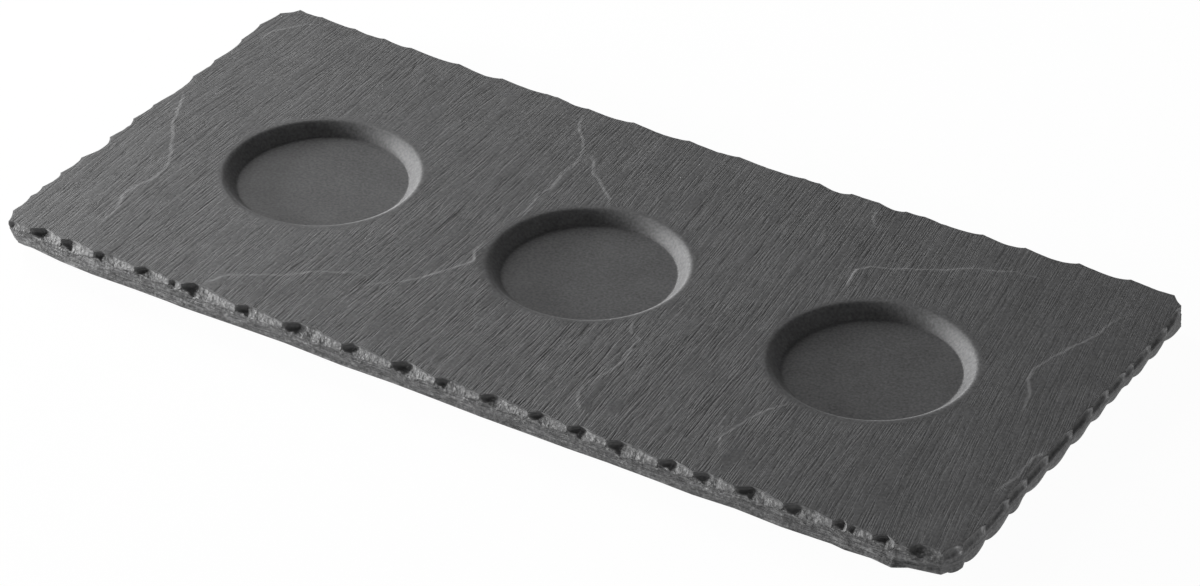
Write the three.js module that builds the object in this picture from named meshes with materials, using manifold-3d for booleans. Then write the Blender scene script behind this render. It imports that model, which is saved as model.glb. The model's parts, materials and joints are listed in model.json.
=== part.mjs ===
// A serving tray of matt, slate-coloured ceramic: a thin slab with three round wells in a row.
// Its edge is chipped all round, like a split stone. Four rubber pads, each on a thin adhesive
// disc, hold it off the table.
// Units are millimetres and +Z is up. The origin is on the table, under the middle of the tray.

import * as THREE from 'three';
import { mergeVertices } from 'three/addons/utils/BufferGeometryUtils.js';
import Module from 'manifold-3d';

// The slab
const trayLength = 298;
const trayWidth = 140;
const slabThickness = 8;
const undercutHeight = 1;
const undercutInset = 2;
const bandBulge = 0.25;

// The wells
const wellCount = 3;
const wellPitch = 88;
const wellRowX = 1.3;
const wellRowY = -0.75;
const wellFloorDiameter = 48.5;
const wellWallRun = 2.7;
const wellDepth = 3.3;
const wellLipRun = 0.65;
const wellLipDrop = 0.3;

// The feet
const padDiameter = 12;
const padThickness = 1.6;
const padChamfer = 0.4;
const adhesiveDiameter = 11;
const adhesiveThickness = 0.4;
const padFromEnd = 20;
const padFromSide = 18;

// How finely round and chipped edges are cut
const chipSteps = 4;
const wellSegments = 48;
const padSegments = 32;

// The depth of a bite that counts 1 in the rows below
const chipSize = 1;

// The chipped edge in plan, anticlockwise from the front left corner. Each row is a cusp's x and y,
// which stretch with the tray, then the depth of the bite that follows it and how far the lower edge
// stands out under the cusp, in chip sizes. A side also says what share of its height a bite takes
// and how far the lower edge bulges between two cusps.
const frontEdge = {
  biteShare: 0.44,
  bulge: 0,
  cusps: [
    [-145.6, -67.5, 0.7, -1.9], [-138.2, -67.3, 2.2, -0.6], [-127.7, -67.2, 1.5, 0.8], [-116.2, -67.7, 1.5, 0.9],
    [-102.2, -67.8, 2, 0.6], [-90.7, -67.7, 0.7, 0.8], [-86.7, -67.7, 2.6, 1], [-68.2, -68.5, 1.8, -0.2],
    [-52.7, -68.6, 2.5, -0.5], [-33.7, -68.6, 2, 0.2], [-17.7, -68.7, 2.6, -0.2], [-3.7, -68.9, 1.7, -0.1],
    [10.3, -69, 2.1, 0.2], [25.3, -69.1, 2, 0.1], [37.3, -69.1, 2.1, 0.2], [49.3, -69.1, 2.1, 0],
    [64.8, -69.1, 2, 0.2], [75.3, -69.1, 1.7, 0.5], [87.5, -69, 2.6, 0], [101.6, -68.8, 1.9, 0.8],
    [115.8, -68.5, 1.8, 0.6], [119.8, -68.4, 1, 1.2], [127.3, -68.6, 2.1, 0.5], [133.4, -68.4, 0.2, 1.6],
    [137.1, -68.2, 2.2, -0.5],
  ],
};
const rightEdge = {
  biteShare: 0.42,
  bulge: 1,
  cusps: [
    [145.6, -66, 1, -0.1], [148.4, -60.3, 0.7, -0.5], [149, -49.3, 0.8, -0.9], [148.8, -36.3, 0.7, -0.8],
    [148.7, -26.3, 0.7, -1.7], [148.6, -14.5, 0.8, -1.1], [148.6, -1, 0.8, -1.4], [148.4, 11, 0.7, -1.5],
    [148.3, 20.3, 0.6, -1.6], [148.4, 29.8, 0.5, -1.9], [148.4, 34.8, 0.6, -1.6], [148.3, 44.8, 0.7, -1.5],
    [148.2, 54.8, 0.7, -1.8],
  ],
};
const backEdge = {
  biteShare: 0.45,
  bulge: 0.15,
  cusps: [
    [147, 65.6, 0.2, 0.4], [143.1, 69.3, 0.4, -0.3], [129.8, 69.9, 1.2, -0.3], [114.3, 69.6, 1.6, -0.3],
    [98.3, 68.8, 1.2, -0.3], [85.3, 68.6, 1.1, -0.3], [67.3, 68.1, 0.2, -0.3], [61.8, 67.7, 1.1, -0.3],
    [53.3, 67.7, 0.1, -0.3], [44.6, 67.7, 1.4, -0.3], [34.3, 67.7, 0.1, -0.3], [29.3, 67.7, 0.8, -0.3],
    [8.3, 67.8, 0.8, -0.3], [-8.2, 67.8, 1.1, -0.3], [-26.7, 67.9, 0.9, -0.3], [-41.7, 67.5, 0.6, -0.3],
    [-52.4, 68.2, 0.1, -0.3], [-56, 68.1, 0.6, -0.3], [-71.7, 68.6, 1.2, -0.3], [-86.7, 68.8, 0.8, -0.3],
    [-103.7, 69.1, 0.6, -0.3], [-113.2, 69.3, 0.7, -0.3], [-123.7, 69.4, 0.5, -0.3], [-135.7, 69.9, 0.5, -0.3],
    [-143.7, 70, 0.5, -0.6],
  ],
};
const leftEdge = {
  biteShare: 0.5,
  bulge: 0.8,
  cusps: [
    [-147.7, 65.3, 0.3, -1], [-149, 56.8, 0.5, -1.2], [-148.5, 46.8, 0.9, -1.2], [-148.2, 32.8, 0.6, -1.2],
    [-148.2, 22.3, 1.2, -1.2], [-148.4, 3.3, 0.5, -1.2], [-148.8, -5.8, 1.1, -1.2], [-148.5, -17.3, 1.8, -1.2],
    [-148.7, -30.3, 0.7, -1.2], [-148.8, -39.8, 0.9, -1.2], [-148.6, -48.3, 0.4, -1.2],
    [-148.5, -53.8, 0.5, -1], [-148, -62.3, 0.2, -1],
  ],
};

// The shape of a bite: it falls away fast after its first cusp and runs out slowly to the next.
const biteSkew = 0.75;
const cuspShare = 0.12;
const hollowInset = 0.55;
const hollowDrop = 0.65;

// Heights that several pieces share
const slabBottom = padThickness + adhesiveThickness;
const slabTop = slabBottom + slabThickness;
const sideHeight = slabThickness - undercutHeight;

const wasm = await Module();
wasm.setup();

const slateCeramic = new THREE.MeshStandardMaterial({ color: 0x555556, roughness: 0.8, metalness: 0 });
const footRubber = new THREE.MeshStandardMaterial({ color: 0x232324, roughness: 0.9, metalness: 0 });
const adhesive = new THREE.MeshStandardMaterial({ color: 0xb9b6ab, roughness: 0.6, metalness: 0 });

// A closed geometry, with its shared points merged, as a solid for cutting.
function solidFrom(geometry) {
  const bare = geometry.clone();
  bare.deleteAttribute('normal');
  bare.deleteAttribute('uv');
  const merged = mergeVertices(bare, 1e-4);
  const corners = merged.index.array;
  const kept = [];
  for (let i = 0; i < corners.length; i += 3) {
    const [a, b, c] = corners.slice(i, i + 3);
    if (a !== b && b !== c && c !== a) kept.push(a, b, c);
  }
  const vertProperties = new Float32Array(merged.attributes.position.array);
  return new wasm.Manifold(new wasm.Mesh({ numProp: 3, vertProperties, triVerts: new Uint32Array(kept) }));
}

function geometryFrom(solid) {
  const mesh = solid.getMesh();
  const geometry = new THREE.BufferGeometry();
  geometry.setAttribute('position', new THREE.BufferAttribute(new Float32Array(mesh.vertProperties), 3));
  geometry.setIndex([...mesh.triVerts]);
  geometry.computeVertexNormals();
  return geometry;
}

// A profile of [radius, height] points turned about the vertical axis.
function turned(profile, segments) {
  const points = profile.map(([radius, height]) => new THREE.Vector2(radius, height));
  return new THREE.LatheGeometry(points, segments).rotateX(Math.PI / 2);
}

// Every cusp of the edge in order, with its side's bite and bulge. The rows are stretched so that the
// outermost cusps lie at the tray's ends and long sides.
function edgeCusps() {
  const sides = [frontEdge, rightEdge, backEdge, leftEdge];
  const rows = sides.flatMap((side) => side.cusps);
  const stretchX = trayLength / 2 / Math.max(...rows.map(([x]) => Math.abs(x)));
  const stretchY = trayWidth / 2 / Math.max(...rows.map(([, y]) => Math.abs(y)));
  return sides.flatMap((side) => side.cusps.map(([x, y, bite, foot]) => ({
    point: new THREE.Vector2(x * stretchX, y * stretchY),
    bite: bite * chipSize,
    foot: foot * chipSize,
    biteShare: side.biteShare,
    bulge: side.bulge * chipSize,
  })));
}

// The outward direction at each cusp: square to the line between its two neighbours.
function outwardAt(cusps, i) {
  const before = cusps.at(i - 1).point;
  const after = cusps[(i + 1) % cusps.length].point;
  return new THREE.Vector2(after.y - before.y, before.x - after.x).normalize();
}

// The slab's side at one place along a bite: points from the top outline down to the underside.
function sideColumn(start, end, outStart, outEnd, t) {
  const middle = start.point.clone().lerp(end.point, t);
  const outward = outStart.clone().lerp(outEnd, t).normalize();
  const depth = Math.sin(Math.PI * t ** biteSkew);
  const bite = start.bite * depth;
  const drop = sideHeight * (cuspShare + (start.biteShare - cuspShare) * depth);
  const foot = THREE.MathUtils.lerp(start.foot, end.foot, t) + start.bulge * Math.sin(Math.PI * t);
  const profile = [
    [-bite, 0],
    [-bite * hollowInset, drop * hollowDrop],
    [0, drop],
    [bandBulge + foot / 2, (drop + sideHeight) / 2],
    [foot, sideHeight],
    [-undercutInset, slabThickness],
  ];
  return profile.map(([reach, down]) => {
    const place = middle.clone().addScaledVector(outward, reach);
    return new THREE.Vector3(place.x, place.y, slabTop - down);
  });
}

function slabGeometry() {
  const cusps = edgeCusps();
  const columns = cusps.flatMap((start, i) => {
    const next = (i + 1) % cusps.length;
    const outStart = outwardAt(cusps, i);
    const outEnd = outwardAt(cusps, next);
    return Array.from({ length: chipSteps }, (_, step) => (
      sideColumn(start, cusps[next], outStart, outEnd, step / chipSteps)
    ));
  });
  const rings = columns[0].length;
  const at = (column, ring) => (column % columns.length) * rings + ring;
  const index = [];
  columns.forEach((_, c) => {
    for (let r = 0; r < rings - 1; r += 1) {
      index.push(at(c, r + 1), at(c + 1, r + 1), at(c + 1, r));
      index.push(at(c, r + 1), at(c + 1, r), at(c, r));
    }
  });
  const outline = (ring) => columns.map((column) => new THREE.Vector2(column[ring].x, column[ring].y));
  THREE.ShapeUtils.triangulateShape(outline(0), []).forEach(([a, b, c]) => {
    index.push(at(a, 0), at(b, 0), at(c, 0));
  });
  THREE.ShapeUtils.triangulateShape(outline(rings - 1), []).forEach(([a, b, c]) => {
    index.push(at(c, rings - 1), at(b, rings - 1), at(a, rings - 1));
  });
  const geometry = new THREE.BufferGeometry().setFromPoints(columns.flat());
  geometry.setIndex(index);
  return geometry;
}

// What is taken out for one well: a flat floor, a sloping wall and an eased lip, open at the top.
function wellGeometry() {
  const floorRadius = wellFloorDiameter / 2;
  const lipRadius = floorRadius + wellWallRun;
  const rimRadius = lipRadius + wellLipRun;
  const over = wellLipDrop;
  const profile = [
    [0, slabTop - wellDepth],
    [floorRadius, slabTop - wellDepth],
    [lipRadius, slabTop - wellLipDrop],
    [rimRadius, slabTop],
    [rimRadius, slabTop + over],
    [0, slabTop + over],
  ];
  return turned(profile, wellSegments);
}

function trayBody() {
  let solid = solidFrom(slabGeometry());
  for (let i = 0; i < wellCount; i += 1) {
    const x = wellRowX + (i - (wellCount - 1) / 2) * wellPitch;
    solid = solid.subtract(solidFrom(wellGeometry().translate(x, wellRowY, 0)));
  }
  const mesh = new THREE.Mesh(geometryFrom(solid), slateCeramic);
  mesh.name = 'tray_body';
  return mesh;
}

// One foot: a rubber pad with an eased lower edge, and the adhesive disc that bonds it to the slab.
function foot(corner, x, y) {
  const radius = padDiameter / 2;
  const pad = new THREE.Mesh(turned([
    [0, 0],
    [radius - padChamfer, 0],
    [radius, padChamfer],
    [radius, padThickness],
    [0, padThickness],
  ], padSegments), footRubber);
  pad.name = `foot_pad_${corner}`;
  const film = new THREE.Mesh(turned([
    [0, padThickness],
    [adhesiveDiameter / 2, padThickness],
    [adhesiveDiameter / 2, slabBottom],
    [0, slabBottom],
  ], padSegments), adhesive);
  film.name = `foot_adhesive_${corner}`;
  const group = new THREE.Group();
  group.add(pad, film);
  group.position.set(x, y, 0);
  return group;
}

const tray = new THREE.Group();
tray.add(trayBody());
const footX = trayLength / 2 - padFromEnd;
const footY = trayWidth / 2 - padFromSide;
tray.add(foot('front_left', -footX, -footY));
tray.add(foot('front_right', footX, -footY));
tray.add(foot('back_right', footX, footY));
tray.add(foot('back_left', -footX, footY));

export default tray;
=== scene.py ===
"""The looks of a slate-coloured ceramic serving tray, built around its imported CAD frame.

The tray's body is one closed skin: a cleaved top with three wells, a chipped edge carried round it
and a plain underside. Four rubber pads on foam discs stand under it. Lengths in the arrays are
millimetres, and a mesh gets metres only when it is made.
"""

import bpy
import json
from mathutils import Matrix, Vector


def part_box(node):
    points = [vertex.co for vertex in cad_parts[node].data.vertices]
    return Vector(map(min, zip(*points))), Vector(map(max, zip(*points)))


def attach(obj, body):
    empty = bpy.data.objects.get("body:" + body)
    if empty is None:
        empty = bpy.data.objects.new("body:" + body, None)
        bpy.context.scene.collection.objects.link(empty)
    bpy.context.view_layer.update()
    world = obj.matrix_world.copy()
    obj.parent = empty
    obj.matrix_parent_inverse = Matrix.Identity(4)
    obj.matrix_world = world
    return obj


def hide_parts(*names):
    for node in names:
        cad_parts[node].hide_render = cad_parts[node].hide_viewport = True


bl_info = {
    "name": "Slate tray",
    "version": (1, 0, 0),
    "blender": (4, 5, 0),
    "location": "3D View > Sidebar > Slate tray",
    "description": "Builds a chipped, slate-coloured serving tray with three wells",
    "category": "Mesh",
}

import json
import math

import bpy
import numpy as np
from bpy.props import FloatProperty, FloatVectorProperty, PointerProperty
from mathutils import Vector
from mathutils.geometry import delaunay_2d_cdt

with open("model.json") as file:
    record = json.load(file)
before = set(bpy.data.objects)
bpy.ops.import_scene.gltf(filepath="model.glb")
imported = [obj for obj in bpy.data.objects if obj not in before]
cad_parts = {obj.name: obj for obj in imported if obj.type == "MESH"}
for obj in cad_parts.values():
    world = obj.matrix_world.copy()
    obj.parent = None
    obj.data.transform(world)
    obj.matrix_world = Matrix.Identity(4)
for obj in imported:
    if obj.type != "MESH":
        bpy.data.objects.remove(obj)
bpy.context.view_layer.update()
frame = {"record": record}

MM = 0.001
CORNERS = ("front_left", "front_right", "back_right", "back_left")
WELLS = ("well_left", "well_middle", "well_right")

# Size of the noises' lattice, and how far each finer layer of a noise is shifted on it
LATTICE = 256
LAYER_SHIFTS = (17.3, 5.1)

# The chipped edge in plan, anticlockwise from the front left corner: each cusp's x and y, the depth
# of the bite that follows it and how far the lower edge stands out under the cusp, in millimetres.
FRONT_CUSPS = (
    (-145.6, -67.5, 0.7, -1.9), (-138.2, -67.3, 2.2, -0.6), (-127.7, -67.2, 1.5, 0.8),
    (-116.2, -67.7, 1.5, 0.9), (-102.2, -67.8, 2, 0.6), (-90.7, -67.7, 0.7, 0.8), (-86.7, -67.7, 2.6, 1),
    (-68.2, -68.5, 1.8, -0.2), (-52.7, -68.6, 2.5, -0.5), (-33.7, -68.6, 2, 0.2),
    (-17.7, -68.7, 2.6, -0.2), (-3.7, -68.9, 1.7, -0.1), (10.3, -69, 2.1, 0.2), (25.3, -69.1, 2, 0.1),
    (37.3, -69.1, 2.1, 0.2), (49.3, -69.1, 2.1, 0), (64.8, -69.1, 2, 0.2), (75.3, -69.1, 1.7, 0.5),
    (87.5, -69, 2.6, 0), (101.6, -68.8, 1.9, 0.8), (115.8, -68.5, 1.8, 0.6), (119.8, -68.4, 1, 1.2),
    (127.3, -68.6, 2.1, 0.5), (133.4, -68.4, 0.2, 1.5), (137.1, -68.2, 2.2, -0.5),
)
RIGHT_CUSPS = (
    (145.6, -66, 1, -0.1), (148.4, -60.3, 0.7, -0.5), (149, -49.3, 0.8, -0.9), (148.8, -36.3, 0.7, -0.8),
    (148.7, -26.3, 0.7, -1.7), (148.6, -14.5, 0.8, -1.1), (148.6, -1, 0.8, -1.4), (148.4, 11, 0.7, -1.5),
    (148.3, 20.3, 0.6, -1.6), (148.4, 29.8, 0.5, -1.9), (148.4, 34.8, 0.6, -1.6),
    (148.3, 44.8, 0.7, -1.5), (148.2, 54.8, 0.7, -1.8),
)
BACK_CUSPS = (
    (147, 65.6, 0.2, 0.4), (143.1, 69.3, 0.4, -0.3), (129.8, 69.9, 1.2, -0.3), (114.3, 69.6, 1.6, -0.3),
    (98.3, 68.8, 1.2, -0.3), (85.3, 68.6, 1.1, -0.3), (67.3, 68.1, 0.2, -0.3), (61.8, 67.7, 1.1, -0.3),
    (53.3, 67.7, 0.1, -0.3), (44.6, 67.7, 1.4, -0.3), (34.3, 67.7, 0.1, -0.3), (29.3, 67.7, 0.8, -0.3),
    (8.3, 67.8, 0.8, -0.3), (-8.2, 67.8, 1.1, -0.3), (-26.7, 67.9, 0.9, -0.3), (-41.7, 67.5, 0.6, -0.3),
    (-52.4, 68.2, 0.1, -0.3), (-56, 68.1, 0.6, -0.3), (-71.7, 68.6, 1.2, -0.3), (-86.7, 68.8, 0.8, -0.3),
    (-103.7, 69.1, 0.6, -0.3), (-113.2, 69.3, 0.7, -0.3), (-123.7, 69.4, 0.5, -0.3),
    (-135.7, 69.9, 0.5, -0.3), (-143.7, 70, 0.5, -0.6),
)
LEFT_CUSPS = (
    (-147.7, 65.3, 0.3, -1), (-149, 56.8, 0.5, -1.2), (-148.5, 46.8, 0.9, -1.2),
    (-148.2, 32.8, 0.6, -1.2), (-148.2, 22.3, 1.2, -1.2), (-148.4, 3.3, 0.5, -1.2),
    (-148.8, -5.8, 1.1, -1.2), (-148.5, -17.3, 1.8, -1.2), (-148.7, -30.3, 0.7, -1.2),
    (-148.8, -39.8, 0.9, -1.2), (-148.6, -48.3, 0.4, -1.2), (-148.5, -53.8, 0.5, -1),
    (-148, -62.3, 0.2, -1),
)

# Each side in turn, with its cusps. lip_at_cusp and lip: shares of the height down to a bite's lower lip.
# notch: how much a bite has two straight legs in plan; wall_run: its first leg's length over its depth;
# hold: share of its length over which it keeps its depth. pit: how steep its start is, and how much painted
# shade darkens its colour there, for at least the share pit_hold of its length; pit_height, taper and
# facet_height: shares of the lip's height that the pit takes, loses along the bite and leaves to the rest;
# under: how far a pit goes in under the rim.
# bulge and lean: how far the lower edge swells between two cusps and how far along that is shifted.
# ragged and eased: noise and width of the rim; broken: how grainy and layered the side is. worn:
# how much painted light makes the end of a bite paler, before the next cusp, standing in for a lit facet;
# painted_hollow_shade: how much painted shade darkens a hollow outside its pit; calm: how
# much weaker the pits get towards the front.
SIDES = (
    dict(cusps=FRONT_CUSPS, lip_at_cusp=0.16, lip=0.44, notch=1.0, wall_run=1.25, hold=0.3, pit=1.0,
         pit_hold=0.0, pit_height=0.62, taper=0.0, facet_height=1.0, under=0.3, bulge=0.0, lean=0.0,
         ragged=1.0, eased=0.35, broken=1.0, worn=0.0, painted_hollow_shade=0.28, calm=0.0),
    dict(cusps=RIGHT_CUSPS, lip_at_cusp=0.4, lip=0.42, notch=1.0, wall_run=1.2, hold=0.84, pit=0.8,
         pit_hold=0.6, pit_height=1.0, taper=0.45, facet_height=0.5, under=0.6, bulge=1.0, lean=2.0,
         ragged=0.4, eased=0.15, broken=0.3, worn=1.0, painted_hollow_shade=0.0, calm=0.6),
    dict(cusps=BACK_CUSPS, lip_at_cusp=0.12, lip=0.45, notch=0.0, wall_run=1.4, hold=0.0, pit=0.5,
         pit_hold=0.2, pit_height=0.8, taper=0.0, facet_height=1.0, under=0.2, bulge=0.15, lean=0.0,
         ragged=0.35, eased=0.3, broken=0.6, worn=0.0, painted_hollow_shade=0.2, calm=0.0),
    dict(cusps=LEFT_CUSPS, lip_at_cusp=0.12, lip=0.5, notch=0.0, wall_run=1.4, hold=0.0, pit=0.5,
         pit_hold=0.2, pit_height=0.8, taper=0.0, facet_height=1.0, under=0.2, bulge=0.8, lean=0.0,
         ragged=0.5, eased=0.3, broken=0.6, worn=0.0, painted_hollow_shade=0.2, calm=0.0),
)

# The low steps where a layer of the slate has split away, seen from above. The high side is on the
# left hand, walking along the points.
CLEFTS = (
    ((-145.0, 13.7), (-142.0, 8.0), (-139.2, 2.2), (-136.3, -4.5), (-132.2, -9.4), (-128.6, -14.5),
     (-125.7, -21.0), (-125.1, -27.9), (-126.1, -34.6), (-126.7, -41.2), (-124.3, -47.8), (-123.4, -55.2)),
    ((-129.2, 68.3), (-138.7, 62.3), (-143.7, 55.3), (-144.7, 49.3)),
    ((-41.0, 65.3), (-39.7, 60.1), (-37.8, 56.5), (-33.8, 51.9), (-31.0, 47.7), (-29.8, 44.1),
     (-29.5, 35.0), (-28.2, 26.5), (-29.1, 21.4), (-27.3, 13.4), (-27.4, 6.6)),
    ((-29.4, -7.0), (-28.4, -11.2), (-25.8, -16.4), (-31.4, -26.4), (-37.1, -35.7), (-42.8, -40.4),
     (-44.6, -42.0)),
    ((-28.6, 47.2), (-25.1, 43.9), (-21.9, 38.2), (-16.8, 34.5), (-11.4, 30.2), (-9.0, 25.9)),
    ((25.7, -19.2), (27.4, -22.7), (32.1, -25.3), (34.3, -35.4), (33.1, -41.2), (31.6, -47.1),
     (31.1, -54.6), (33.0, -57.9), (36.8, -61.7)),
    ((110.3, 57.3), (101.3, 56.3), (88.3, 50.3), (78.3, 43.3), (67.3, 38.3), (64.3, 34.8), (65.8, 25.3)),
    ((81.7, -28.4), (77.4, -35.6), (74.9, -41.6), (72.7, -52.2), (75.3, -57.0)),
    ((135.6, 51.8), (134.2, 40.7), (130.4, 30.9), (126.9, 18.6), (128.2, 12.2), (131.8, 7.3), (134.8, -1.9)),
    ((54.3, 64.8), (55.8, 59.3), (58.3, 57.3)),
    ((-42.8, -40.4), (-46.4, -37.7), (-50.1, -37.3), (-59.9, -43.8), (-64.4, -48.3), (-78.5, -58.1),
     (-81.3, -61.9), (-82.2, -64.4)),
    ((147.5, -10.8), (147.5, -13.5), (145.8, -17.8), (145.7, -22.7), (146.3, -27.8), (144.5, -37.0)),
)
# How much painted light each of them takes on its pale line, standing in for the lit riser of its step
CLEFT_PAINTED_LIGHT = (0.25, 0.3, 0.35, 0.8, 0.35, 0.35, 1.0, 0.7, 0.05, 0.4, 1.5, 0.45)

# How the edge is cut: distance between two columns, and its rows from the deck down to the underside
COLUMN_SPACING = 0.5
FEWEST_COLUMNS = 6
EASED_ROWS = ((1.0, 0.0), (0.53, 0.04), (0.21, 0.12), (0.04, 0.28))
HOLLOW_ROWS = 8
BAND_ROWS = 14

# How a bite is shaped: how much bites differ, the powers of their curves, and where pits start and end
CHIP_SEED = 7
CHIP_VARIETY = (0.75, 1.25)
BITE_SKEW = 0.7
WALL_CURVE = 0.9
FACET_CURVE = 0.85
LEG_BLEND = 0.2
LONGEST_WALL = 0.72
FULL_BITE = 1.6
LEAST_DROP = 0.3
LEAST_FACET = 0.5
LIP_NOISE = 0.4
PIT_CURVE = 0.6
PIT_START = 0.35
PIT_END = (0.8, 1.5)
PIT_FADE = (1.2, 0.6)
PIT_WANDER = 0.35
CALM_REACH = (-5.0, -60.0)
RIDGE_WIDTH = 1.2

# The rim of the bites and the hollows under it
RAGGED_RIM = 0.14
RIM_SHIFT = 0.4
RIM_LIMIT = 0.05
RAGGED_CUSP = 0.3
FACET_BUMPS = 0.4
BUMPS_ONSET = 1.5
HOLLOW_CURVE = 1.1
PIT_STEEPNESS = 3.6
FALL_CURVE = 0.8
GRAIN_ONSET = 0.15
# Where down a hollow a pit's painted shade starts and ends: its colour is darkened there to stand in for the
# pit's shadow
PIT_SHADE_FROM = (0.0, 0.2)
PIT_SHADE_UNTIL = (1.05, 0.8)
# Width, taper and fade of the painted light: a pale strip at the end of a bite that stands in for a lit facet
PAINTED_STRIP_WIDTH = 2.3
PAINTED_STRIP_TAPER = (1.2, 0.7)
PAINTED_STRIP_FADE = (1.0, 0.4)
RIM_FOLLOWS = 0.6

# The layered band below the hollows, the lower edge and the undercut foot
LAYER_STEP = 0.3
LAYER_SHIFT = 1.2
LAYER_FADE = 6
SHORT_LAYERS = 0.5
BAND_BULGE = 0.25
BAND_WANDER = 0.25
BAND_GRAINY = (0.75, 0.1)
LEAST_GRAIN = 0.6
BULGE_SKEW = 0.65
FOOT_CURVE = 1.5
LOWER_EASE = 0.16
LOWER_ROUNDING = ((0.05, 0.04), (0.25, 0.0))
LOWER_GRAIN = (0.3, 0.5)
SIDE_HEIGHT = 7.0
UNDERCUT_INSET = 2.0
LEAST_UNDERCUT = 0.6

# Sizes of the noises along the edge in millimetres, those of the layers with their heights
LIP_GRAIN = 2.6
PIT_GRAIN = 1.3
RIM_GRAIN = 2.1
FACET_GRAIN = 3.4
HOLLOW_GRAIN = 1.1
BAND_GRAIN = 4.0
LONG_LAYER = (24.0, 0.6)
SHORT_LAYER = (2.2, 0.55)

# Seeds of the noises; each cleft adds its own number
SEEDS = dict(lip=21, pit=23, rim=31, facet=33, hollow=41, long_layer=51, short_layer=52, band=53,
             cleft_path=61, cleft_height=81, lean=91, waves=101, ridges=111)

# How the top is cut: spacings and margins of its points, and radii of the rings in and round a well
DECK_SPACING = 1.1
DECK_MARGIN = 0.75
WELL_COLUMNS = 216
WELL_RINGS = (22.6, 23.4, 23.9, 24.15, 24.4, 24.8, 25.4, 26.0, 26.5, 26.9, 27.2, 27.45, 27.7, 28.0, 28.5,
              29.3, 30.2)
WELL_FLOOR_SPACING = 1.7
WELL_FLOOR_MARGIN = 0.6
WELL_ROOM = 0.5
UNDERSIDE_SPACING = 5.0
CLEFT_STEP = 0.8
CLEFT_ROWS = (-0.65, -0.25, 0.25, 0.65)
CLEFT_GAP = 0.12
CLEFT_ROOM = 0.8
SQUARES_IN_ROW = 100000

# How a cleft wanders, fades at its ends, rises and sinks again, and how wide its pale line of painted light
# is
CLEFT_WOBBLE = 0.5
CLEFT_BENDS = 7.0
CLEFT_FADE = (-2.0, 5.0)
CLEFT_STRENGTH = (0.8, 0.3, 9)
CLEFT_REACH = 50
CLEFT_RISE = 0.32
CLEFT_SINK = 13
CLEFT_WIDTH = 0.4

# The rest of the deck: sizes of its waves and ridges across and along, and how the cleaving lines lean,
# each time by degrees between two places in x
WELL_FLOOR_BLEND = 0.25
DECK_START = (27.6, 31.5)
WAVE_SIZE = (17, 26)
RIDGE_SIZE = (2.6, 24)
RIDGE_HEIGHT = 0.018
HIGHEST_SHARES = (0.8, 0.5)
LEANS = ((8.0, -110.0, 130.0), (6.0, 100.0, 145.0))
LEAN_WANDER = 2.0
LEAN_SIZE = (33, 80)

# Strength of the cleaving lines: everywhere, added in the middle of the front and lost to the right
COMB_BASE = 0.85
COMB_FRONT = 0.4
COMB_FRONT_WIDTH = 70.0
COMB_FRONT_REACH = (10.0, -30.0)
COMB_LOSS = 0.45
COMB_LOSS_REACH = (50.0, 130.0)

# How strong the painted highlight along the wells' rims is, on which side, how wide and how far outside the
# rim
RIM_HIGHLIGHT = 1.5
HIGHLIT_SIDE = (0.6, -0.8)
HIGHLIT_ARC = (0.1, 0.8)
HIGHLIT_RIM_WIDTH = 0.28
HIGHLIT_RIM_SHIFT = 0.1

# Cleaving lines in millimetres: width and length of their noise, then their breadth and gaps as shares of
# it, for the fine and the bold lines of the deck and the strata of the side
CLEAVING = ((0.62, 22.0, 0.1, 0.4), (2.6, 45.0, 0.03, 0.52), (0.33, 12.0, 0.14, 0.35))
PATCH_STRETCH = (0.55, 1.3, 1.0)
PATCH_SOFTNESS = 0.08
COMB_STRETCH = (1.7, 1.4, 1.0)

# The ceramic's finish: its fine grain, the grain of broken faces and where that is pale, and the strength of
# the painted light and shade on the edge's bites and of the painted highlights on the clefts' lines and the
# wells' rims
CERAMIC_GRAIN = {"Grain size": 0.8, "Mottle size": 9.0, "Mottle": 0.5, "Specks": 1.5}
CERAMIC_ROUGHNESS = 0.6
MATT_HEIGHT = 0.035
BROKEN_SCALE = 1100.0
BROKEN_HEIGHT = 0.4
SPARKLE = (0.5, 0.62)
PAINTED_SIDE_GAIN = 1.1
PAINTED_HIGHLIGHT_GAIN = 0.9

# Turned pieces: their segments, the pads' soles and shoulders, and the foam's waist, in millimetres
SEGMENTS = 64
SOLE_RINGS = 44
SOLE_START = 0.4
SOLE_MARGIN = 0.6
GRIP_SPACING = 1.5
GRIP_EDGE = (0.55, 0.8)
SHOULDER = 0.15
ROUND_STEPS = 7
FOAM_WAIST = 0.12
FOAM_ROWS = 9

# The floor in metres: radii of its flat rings and of the bend at its edge
FLOOR_SEGMENTS = 96
FLOOR_RINGS = (0.5, 1.5, 3.0)
FLOOR_RADIUS = 4.0
FLOOR_BEND = 1.0
BEND_STEPS = 16
FLOOR_WHITE = 0.95

# The lamps: the setting with their power, turn and elevation in degrees, distance, width and height in metres
LAMPS = {
    "low_softbox": ("low_power", 200.0, 6.3, 1.4, 0.48, 0.27),
    "tall_softbox": ("tall_power", 155.0, 24.0, 1.4, 0.48, 0.67),
    "edge_strip": ("strip_power", 305.0, 1.2, 0.9, 0.7, 0.034),
}
SENSOR_WIDTH = 36.0
CLIP = (0.01, 50.0)


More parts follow.
